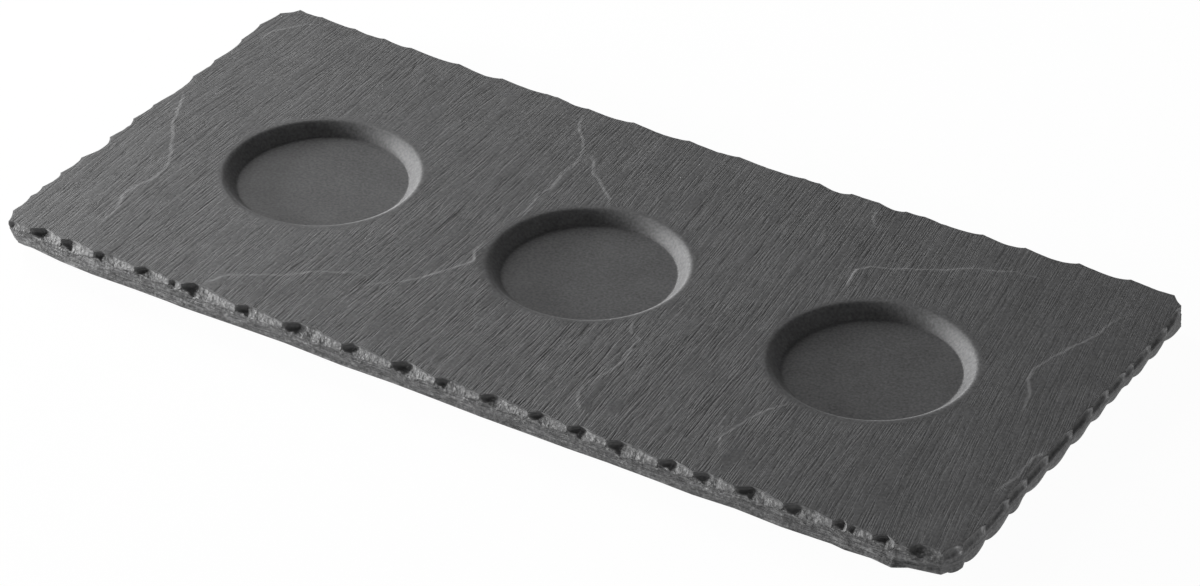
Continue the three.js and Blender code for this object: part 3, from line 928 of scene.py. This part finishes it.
def cleaved_lines_group():
    """Combed texture and broken grooves along one direction, from noises stretched along it.

    A groove is where the noise crosses its middle, kept only where a second, longer noise is high.
    Groove is 1 in a groove and 0 between grooves. Width and Length are the noise's sizes in mm.
    """
    existing = bpy.data.node_groups.get("cleaved_lines")
    if existing:
        return existing
    group, start, end = new_group(
        "cleaved_lines", ("Width", "Length", "Breadth", "Gaps"), ("Comb", "Groove"))
    parts = add_node(group, "ShaderNodeSeparateXYZ", (1, 0), {"Vector": start.outputs["Vector"]})
    across = math_value(group, "DIVIDE", (2, 0), parts.outputs["X"], start.outputs["Width"])
    along = math_value(group, "DIVIDE", (2, 1), parts.outputs["Y"], start.outputs["Length"])
    place = add_node(group, "ShaderNodeCombineXYZ", (3, 0), {"X": across, "Y": along}).outputs[0]
    noise = add_node(group, "ShaderNodeTexNoise", (4, 0), {"Vector": place, "Scale": 1.0, "Detail": 1.0})
    off = math_value(group, "SUBTRACT", (5, 0), noise.outputs["Fac"], 0.5)
    off = math_value(group, "ABSOLUTE", (6, 0), off)
    groove = add_node(group, "ShaderNodeMapRange", (7, 0),
                      {"Value": off, "From Min": 0.0, "From Max": start.outputs["Breadth"], "To Min": 1.0,
                       "To Max": 0.0}, interpolation_type="SMOOTHSTEP")
    longer = add_node(group, "ShaderNodeVectorMath", (4, 2), {0: place, 1: PATCH_STRETCH},
                      operation="MULTIPLY")
    patch = add_node(group, "ShaderNodeTexNoise", (5, 2),
                     {"Vector": longer.outputs[0], "Scale": 1.0, "Detail": 1.0, "Distortion": 0.3})
    past = math_value(group, "ADD", (6, 3), start.outputs["Gaps"], PATCH_SOFTNESS)
    kept = add_node(group, "ShaderNodeMapRange", (7, 2),
                    {"Value": patch.outputs["Fac"], "From Min": start.outputs["Gaps"], "From Max": past},
                    interpolation_type="SMOOTHSTEP")
    broken = math_value(group, "MULTIPLY", (8, 0), groove.outputs["Result"], kept.outputs["Result"])
    finer = add_node(group, "ShaderNodeVectorMath", (4, 4), {0: place, 1: COMB_STRETCH},
                     operation="MULTIPLY")
    comb = add_node(group, "ShaderNodeTexNoise", (5, 4),
                    {"Vector": finer.outputs[0], "Scale": 1.0, "Detail": 2.0})
    swing = math_value(group, "SUBTRACT", (6, 4), comb.outputs["Fac"], 0.5)
    group.links.new(swing, end.inputs["Comb"])
    group.links.new(broken, end.inputs["Groove"])
    return group


def new_material(name):
    """An empty node material with its Principled shader and output."""
    material = bpy.data.materials.new(name)
    material.use_nodes = True
    return material, material.node_tree, material.node_tree.nodes["Principled BSDF"]


def slate_ceramic(settings):
    """Matt slate-coloured ceramic: cleaving lines on the deck, strata on the band, pale grain on chips.

    Heights are summed in millimetres and go into one Bump node: those of the lines are in line depths,
    each times its mask. Shades are summed in the same way and multiply the colour; those of the lines and
    strata are painted shade in their grooves and painted light and shade along their comb. Painted shade
    darkens the pits' colour, painted light makes the ends of bites, the clefts' lines and the wells' rims
    paler, and painted shade darkens the hollows outside the pits.
    """
    material, tree, shader = new_material("slate_ceramic")
    place = add_node(tree, "ShaderNodeTexCoord", (-12, 0)).outputs["Object"]
    grain = add_node(tree, "ShaderNodeAttribute", (-12, 2), attribute_name="grain").outputs["Vector"]
    lines, layers, chip, cleft, pit, worn = (
        add_node(tree, "ShaderNodeAttribute", (-12, 4 + i), attribute_name=name).outputs["Fac"]
        for i, name in enumerate(("lines", "layers", "chip", "cleft", "pit", "worn")))
    matt = add_node(tree, "ShaderNodeGroup", (-10, 0), {"Vector": place, **CERAMIC_GRAIN},
                    node_tree=matt_grain_group())
    fine, bold, strata = (
        add_node(tree, "ShaderNodeGroup", (-10, 3 + 2 * i),
                 {"Vector": grain, "Width": width, "Length": length, "Breadth": breadth, "Gaps": gaps},
                 node_tree=cleaved_lines_group())
        for i, (width, length, breadth, gaps) in enumerate(CLEAVING))
    broken = add_node(tree, "ShaderNodeTexNoise", (-10, 9),
                      {"Vector": place, "Scale": BROKEN_SCALE, "Detail": 3.0})

    depth = settings.line_depth / MM
    heights = (
        (fine.outputs["Comb"], lines, 2.6 * depth),
        (fine.outputs["Groove"], lines, -3.6 * depth),
        (bold.outputs["Groove"], lines, -2.5 * depth),
        (strata.outputs["Comb"], layers, 9.0 * depth),
        (strata.outputs["Groove"], layers, -7.0 * depth),
        (broken.outputs["Fac"], chip, BROKEN_HEIGHT),
    )
    height = math_value(tree, "MULTIPLY", (-6, 0), matt.outputs["Height"], MATT_HEIGHT)
    for i, (source, mask, amount) in enumerate(heights):
        masked = math_value(tree, "MULTIPLY", (-7, i + 1), source, mask)
        height = math_value(tree, "MULTIPLY_ADD", (-5 + i * 0.2, i + 1), masked, amount, height)
    bump = add_node(tree, "ShaderNodeBump", (-2, 4), {"Height": height, "Strength": 1.0, "Distance": MM})

    sparkle = add_node(tree, "ShaderNodeMapRange", (-7, 9),
                       {"Value": broken.outputs["Fac"], "From Min": SPARKLE[0], "From Max": SPARKLE[1]})
    pale = math_value(tree, "MULTIPLY", (-6, 9), sparkle.outputs["Result"], chip)
    colour = add_node(tree, "ShaderNodeMix", (-4, 8), data_type="RGBA")
    tree.links.new(pale, colour.inputs["Factor"])
    colour.inputs["A"].default_value = (*settings.stone, 1.0)
    colour.inputs["B"].default_value = (*settings.pale, 1.0)
    shade = matt.outputs["Shade"]
    # Painted shade in the grooves of the deck's lines and the band's strata, and painted light and shade
    # along the comb, on top of their bump
    painted_line_shades = (
        (fine.outputs["Groove"], lines, -0.32),
        (bold.outputs["Groove"], lines, -0.24),
        (fine.outputs["Comb"], lines, 0.5),
        (strata.outputs["Groove"], layers, -0.5),
    )
    for i, (source, mask, amount) in enumerate(painted_line_shades):
        masked = math_value(tree, "MULTIPLY", (-6, 11 + i), source, mask)
        shade = math_value(tree, "MULTIPLY_ADD", (-5, 11 + i), masked, amount, shade)
    # Painted shade darkens the pits' colour to stand in for their shadow
    painted_light_factor = math_value(tree, "MULTIPLY_ADD", (-5, 15), pit, -settings.pit_painted_shade, 1.0)
    # Painted light brightens the ends of bites, and painted shade darkens the hollows outside the pits
    painted_light_factor = math_value(tree, "MULTIPLY_ADD", (-5, 16), worn, PAINTED_SIDE_GAIN, painted_light_factor)
    # Painted highlights brighten the clefts' lines and the wells' rims
    painted_light_factor = math_value(tree, "MULTIPLY_ADD", (-5, 17), cleft, PAINTED_HIGHLIGHT_GAIN, painted_light_factor)
    shade = math_value(tree, "MULTIPLY", (-4, 12), shade, painted_light_factor)
    shaded = add_node(tree, "ShaderNodeVectorMath", (-3, 8), {0: colour.outputs["Result"], "Scale": shade},
                      operation="SCALE")
    tree.links.new(shaded.outputs["Vector"], shader.inputs["Base Color"])
    tree.links.new(bump.outputs["Normal"], shader.inputs["Normal"])
    shader.inputs["Roughness"].default_value = CERAMIC_ROUGHNESS
    return material


def plain_matt(name, colour, roughness, grain, mottle, depth):
    """A matt material with grain and mottling of its own sizes in millimetres."""
    material, tree, shader = new_material(name)
    place = add_node(tree, "ShaderNodeTexCoord", (-8, 0)).outputs["Object"]
    sizes = {"Grain size": grain, "Mottle size": mottle, "Mottle": 0.35, "Specks": 0.2}
    matt = add_node(tree, "ShaderNodeGroup", (-6, 0), {"Vector": place, **sizes},
                    node_tree=matt_grain_group())
    shaded = add_node(tree, "ShaderNodeVectorMath", (-4, 0),
                      {0: tuple(colour), "Scale": matt.outputs["Shade"]}, operation="SCALE")
    bump = add_node(tree, "ShaderNodeBump", (-2, 2),
                    {"Height": matt.outputs["Height"], "Strength": 1.0, "Distance": depth})
    tree.links.new(shaded.outputs["Vector"], shader.inputs["Base Color"])
    tree.links.new(bump.outputs["Normal"], shader.inputs["Normal"])
    shader.inputs["Roughness"].default_value = roughness
    return material


def spun(radius, height, segments):
    """Points of a profile turned about the vertical axis, ring by ring, and the quads between them."""
    angle = np.arange(segments) * 2 * math.pi / segments
    rings = np.stack([radius[:, None] * np.cos(angle), radius[:, None] * np.sin(angle),
                      np.broadcast_to(height[:, None], (len(height), segments))], axis=2)
    here = np.arange(segments)
    there = np.roll(here, -1)
    low = (np.arange(len(radius) - 1) * segments)[:, None]
    high = low + segments
    quads = np.stack([low + here, low + there, high + there, high + here], axis=2)
    return rings.reshape(-1, 3), quads.reshape(-1, 4), here, there


def turned(profile, segments):
    """A closed solid of revolution: a profile of radius and height from axis to axis, going upwards.

    Its two ends lie on the axis and become single points, so the poles are closed.
    """
    radius, height = np.array(profile[1:-1]).T
    rings, walls, here, there = spun(radius, height, segments)
    vertices = np.concatenate([rings, [[0, 0, profile[0][1]]], [[0, 0, profile[-1][1]]]])
    last = (len(radius) - 1) * segments
    bottom = np.stack([np.full(segments, len(vertices) - 2), there, here], axis=1)
    top = np.stack([np.full(segments, len(vertices) - 1), last + here, last + there], axis=1)
    return vertices, walls.tolist() + bottom.tolist() + top.tolist()


def node_box(name):
    """Lowest and highest corner of a CAD node, in millimetres."""
    lowest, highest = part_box(name)
    return np.array(lowest) / MM, np.array(highest) / MM


class TRAY_OT_body(bpy.types.Operator):
    """Build the ceramic slab with its wells, cleaved top and chipped edge"""

    bl_idname = "tray.body"
    bl_label = "Tray body"

    def execute(self, context):
        body = context.scene.tray_body
        lowest, highest = node_box("tray_body")
        settings = {
            "lowest": lowest,
            "highest": highest,
            "slab_bottom": lowest[2],
            "slab_top": highest[2],
            "floor_radius": body.well_floor / MM / 2,
            "wall_slope": body.well_wall_slope,
            "lip": body.well_lip / MM,
            "cleft": body.cleft_height / MM,
            "waviness": body.waviness / MM,
            "chip": body.chip_roughness / MM,
        }
        vertices, faces, masks, grain = tray_skin(settings)
        ceramic = slate_ceramic(body)
        mesh = new_piece("slate_tray_body", vertices, faces, ceramic, "tray_body").data
        mesh.attributes.new("grain", "FLOAT_VECTOR", "POINT").data.foreach_set("vector", grain.ravel())
        for name, values in masks.items():
            mesh.attributes.new(name, "FLOAT", "POINT").data.foreach_set("value", values)
        return {"FINISHED"}


class TRAY_OT_feet(bpy.types.Operator):
    """Build the four rubber pads and the foam discs that bond them to the slab"""

    bl_idname = "tray.feet"
    bl_label = "Feet"

    def execute(self, context):
        feet = context.scene.tray_feet
        rubber = plain_matt("foot_rubber", feet.rubber, roughness=0.75, grain=0.18, mottle=3.0, depth=0.00002)
        foam = plain_matt("foot_foam", feet.foam, roughness=0.9, grain=0.3, mottle=2.0, depth=0.00006)
        for corner in CORNERS:
            self.pad(f"foot_pad_{corner}", feet, rubber)
            self.disc(f"foot_adhesive_{corner}", foam)
        return {"FINISHED"}

    def pad(self, node, feet, material):
        """A disc with rounded rims, and shallow rings in its sole where cos(2 pi r / spacing) is high."""
        lowest, highest = node_box(node)
        radius = (highest[0] - lowest[0]) / 2
        rounding = feet.edge_round / MM
        turn = np.linspace(0.0, math.pi / 2, ROUND_STEPS)
        sole = np.linspace(SOLE_START, radius - rounding, SOLE_RINGS)
        groove = feet.grip_depth / MM * ease(*GRIP_EDGE, np.cos(sole * 2 * math.pi / GRIP_SPACING))
        low = np.column_stack([sole, groove * (sole < radius - rounding - SOLE_MARGIN)])
        rim = np.column_stack([radius - rounding + rounding * np.sin(turn), rounding * (1 - np.cos(turn))])
        top = highest[2] - lowest[2]
        shoulder = np.column_stack([radius - SHOULDER + SHOULDER * np.cos(turn),
                                    top - SHOULDER + SHOULDER * np.sin(turn)])
        outer = np.concatenate([low, rim[1:], shoulder]).tolist()
        vertices, faces = turned([(0, 0)] + outer + [(radius / 2, top), (0, top)], SEGMENTS)
        middle = (lowest + highest) / 2
        new_piece(f"{node}_rubber", vertices + [middle[0], middle[1], lowest[2]], faces, material,
                  node)

    def disc(self, node, material):
        """A thin foam disc whose edge draws in between its two faces."""
        lowest, highest = node_box(node)
        radius = (highest[0] - lowest[0]) / 2
        thick = highest[2] - lowest[2]
        rise = np.linspace(0.0, 1.0, FOAM_ROWS)
        rim = np.column_stack([radius - FOAM_WAIST * np.sin(math.pi * rise), thick * rise])
        profile = [(0, 0), (radius / 2, 0)] + rim.tolist() + [(radius / 2, thick), (0, thick)]
        vertices, faces = turned(profile, SEGMENTS)
        middle = (lowest + highest) / 2
        new_piece(f"{node}_foam", vertices + [middle[0], middle[1], lowest[2]], faces, material,
                  node)


class TRAY_OT_stage(bpy.types.Operator):
    """Set up the camera, the lamps, the even fill and the white floor"""

    bl_idname = "tray.stage"
    bl_label = "Stage"

    def execute(self, context):
        stage = context.scene.tray_stage
        self.camera(context.scene, stage)
        self.floor(context.scene, stage)
        self.lamps(context.scene, stage)
        context.scene.view_settings.view_transform = "Standard"
        return {"FINISHED"}

    def camera(self, scene, stage):
        """A camera that looks at its target from the given turn, elevation and distance."""
        flat = math.cos(stage.elevation)
        toward = Vector((math.sin(stage.azimuth) * flat, -math.cos(stage.azimuth) * flat,
                         math.sin(stage.elevation)))
        data = bpy.data.cameras.new("camera")
        data.lens = stage.lens
        data.sensor_width = SENSOR_WIDTH
        data.sensor_fit = "HORIZONTAL"
        data.clip_start, data.clip_end = CLIP
        eye = bpy.data.objects.new("camera", data)
        eye.location = Vector(stage.target) + toward * stage.distance
        eye.rotation_euler = toward.to_track_quat("Z", "Y").to_euler()
        scene.collection.objects.link(eye)
        scene.camera = eye

    def floor(self, scene, stage):
        """A round floor that curves up into a low backdrop, as one profile turned about the middle."""
        bend = np.linspace(0.0, math.pi / 2, BEND_STEPS)
        radius = np.concatenate([FLOOR_RINGS, FLOOR_RADIUS + FLOOR_BEND * np.sin(bend)])
        height = np.concatenate([np.zeros(len(FLOOR_RINGS)), FLOOR_BEND * (1.0 - np.cos(bend))])
        rings, walls, here, there = spun(radius, height, FLOOR_SEGMENTS)
        vertices = np.concatenate([rings, [[0.0, 0.0, 0.0]]])
        middle = np.stack([here, there, np.full(FLOOR_SEGMENTS, len(vertices) - 1)], axis=1)
        mesh = bpy.data.meshes.new("floor")
        mesh.from_pydata(vertices.tolist(), [], walls[:, ::-1].tolist() + middle.tolist())
        mesh.polygons.foreach_set("use_smooth", np.ones(len(mesh.polygons), dtype=bool))
        mesh.materials.append(self.floor_material(stage))
        floor = bpy.data.objects.new("floor", mesh)
        scene.collection.objects.link(floor)

    def floor_material(self, stage):
        """White to the camera and in reflections, with a little of the lit floor for the shadow.

        From below it lets the view through, so the underside can be looked at.
        """
        material = bpy.data.materials.new("floor_white")
        material.use_nodes = True
        tree = material.node_tree
        tree.nodes.clear()
        path = add_node(tree, "ShaderNodeLightPath", (-6, 0))
        seen = path.outputs["Is Camera Ray"]
        for i, name in enumerate(("Is Glossy Ray", "Is Transmission Ray")):
            seen = math_value(tree, "MAXIMUM", (i - 5, 0), seen, path.outputs[name])
        share = math_value(tree, "MULTIPLY", (-3, 0), seen, FLOOR_WHITE)
        diffuse = add_node(tree, "ShaderNodeBsdfDiffuse", (-4, 2), {"Color": (*stage.floor, 1.0)})
        glow = add_node(tree, "ShaderNodeEmission", (-4, 3), {"Color": (1, 1, 1, 1), "Strength": stage.glow})
        lit = add_node(tree, "ShaderNodeAddShader", (-3, 2), {0: diffuse.outputs[0], 1: glow.outputs[0]})
        white = add_node(tree, "ShaderNodeEmission", (-3, 3), {"Color": (1, 1, 1, 1), "Strength": 1.0})
        mixed = add_node(tree, "ShaderNodeMixShader", (-2, 0),
                         {0: share, 1: lit.outputs[0], 2: white.outputs[0]})
        behind = add_node(tree, "ShaderNodeNewGeometry", (-3, 5)).outputs["Backfacing"]
        clear = add_node(tree, "ShaderNodeBsdfTransparent", (-3, 6))
        shown = add_node(tree, "ShaderNodeMixShader", (-1, 0),
                         {0: behind, 1: mixed.outputs[0], 2: clear.outputs[0]})
        add_node(tree, "ShaderNodeOutputMaterial", (0, 0), {"Surface": shown.outputs[0]})
        return material

    def lamps(self, scene, stage):
        """Two softboxes on the left, one low and one tall, and a strip near the floor on the right."""
        for name, (setting, *place) in LAMPS.items():
            self.softbox(scene, name, getattr(stage, setting), *place)
        world = bpy.data.worlds.new("fill")
        world.use_nodes = True
        background = world.node_tree.nodes["Background"]
        background.inputs["Color"].default_value = (1, 1, 1, 1)
        background.inputs["Strength"].default_value = stage.fill
        scene.world = world

    def softbox(self, scene, name, power, turn, rise, distance, width, height):
        """An area lamp that faces the tray from a plan direction and an elevation in degrees."""
        flat = math.cos(math.radians(rise))
        toward = Vector((math.cos(math.radians(turn)) * flat, math.sin(math.radians(turn)) * flat,
                         math.sin(math.radians(rise))))
        data = bpy.data.lights.new(name, "AREA")
        data.shape = "RECTANGLE"
        data.size = width
        data.size_y = height
        data.energy = power
        lamp = bpy.data.objects.new(name, data)
        lamp.location = toward * distance
        lamp.rotation_euler = toward.to_track_quat("Z", "Y").to_euler()
        lamp.visible_camera = False
        scene.collection.objects.link(lamp)


class TRAY_PT_panel(bpy.types.Panel):
    """Settings and building steps of the tray"""

    bl_idname = "TRAY_PT_panel"
    bl_label = "Slate tray"
    bl_space_type = "VIEW_3D"
    bl_region_type = "UI"
    bl_category = "Slate tray"

    def draw(self, context):
        steps = (("tray.body", "tray_body"), ("tray.feet", "tray_feet"), ("tray.stage", "tray_stage"))
        for operator, holder in steps:
            group = getattr(context.scene, holder)
            box = self.layout.box()
            box.operator(operator)
            for name in group.__annotations__:
                box.prop(group, name)


CLASSES = (TrayBodySettings, TrayFootSettings, TrayStageSettings, TRAY_OT_body, TRAY_OT_feet, TRAY_OT_stage,
           TRAY_PT_panel)


def register():
    for made in CLASSES:
        bpy.utils.register_class(made)
    bpy.types.Scene.tray_body = PointerProperty(type=TrayBodySettings)
    bpy.types.Scene.tray_feet = PointerProperty(type=TrayFootSettings)
    bpy.types.Scene.tray_stage = PointerProperty(type=TrayStageSettings)


def unregister():
    del bpy.types.Scene.tray_stage
    del bpy.types.Scene.tray_feet
    del bpy.types.Scene.tray_body
    for made in reversed(CLASSES):
        bpy.utils.unregister_class(made)


def main():
    register()
    bpy.ops.tray.stage()
    bpy.ops.tray.body()
    bpy.ops.tray.feet()


if __name__ == "__main__":
    main()
